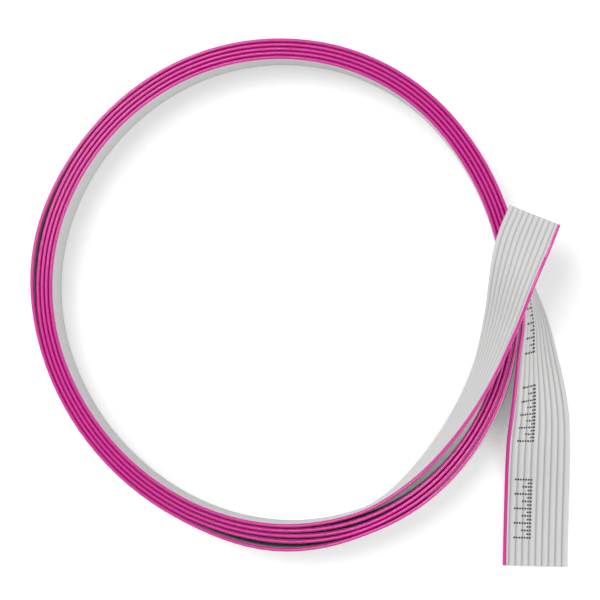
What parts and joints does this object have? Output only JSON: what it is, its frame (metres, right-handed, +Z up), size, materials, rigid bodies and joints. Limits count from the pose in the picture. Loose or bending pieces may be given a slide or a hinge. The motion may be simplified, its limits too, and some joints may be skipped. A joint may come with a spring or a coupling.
{
  "type": "ribbon cable",
  "caption": "Flat ribbon cable with a ribbed grey jacket and a magenta edge mark, wound on edge into a loose coil, one free end crossing over it and one lying flat.",
  "frame": {"origin": "centre of the bounding box in plan, on the surface the coil rests on", "axes": "+Z up along the coil's axis; the flat outer end points along -Y; the end that crosses over the coil is at +X"},
  "size_m": [0.1028, 0.101, 0.0212],
  "materials": {
    "jacket": "satin soft PVC, light grey",
    "mark": "satin soft PVC, magenta",
    "strands": "tinned copper strands, freshly cut"
  },
  "bodies": {
    "root": {"insulation": "jacket", "edge_mark": "mark", "conductor_1": "strands", "conductor_2": "strands", "conductor_3": "strands", "conductor_4": "strands", "conductor_5": "strands", "conductor_6": "strands", "conductor_7": "strands", "conductor_8": "strands", "conductor_9": "strands", "conductor_10": "strands"}
  },
  "joints": []
}
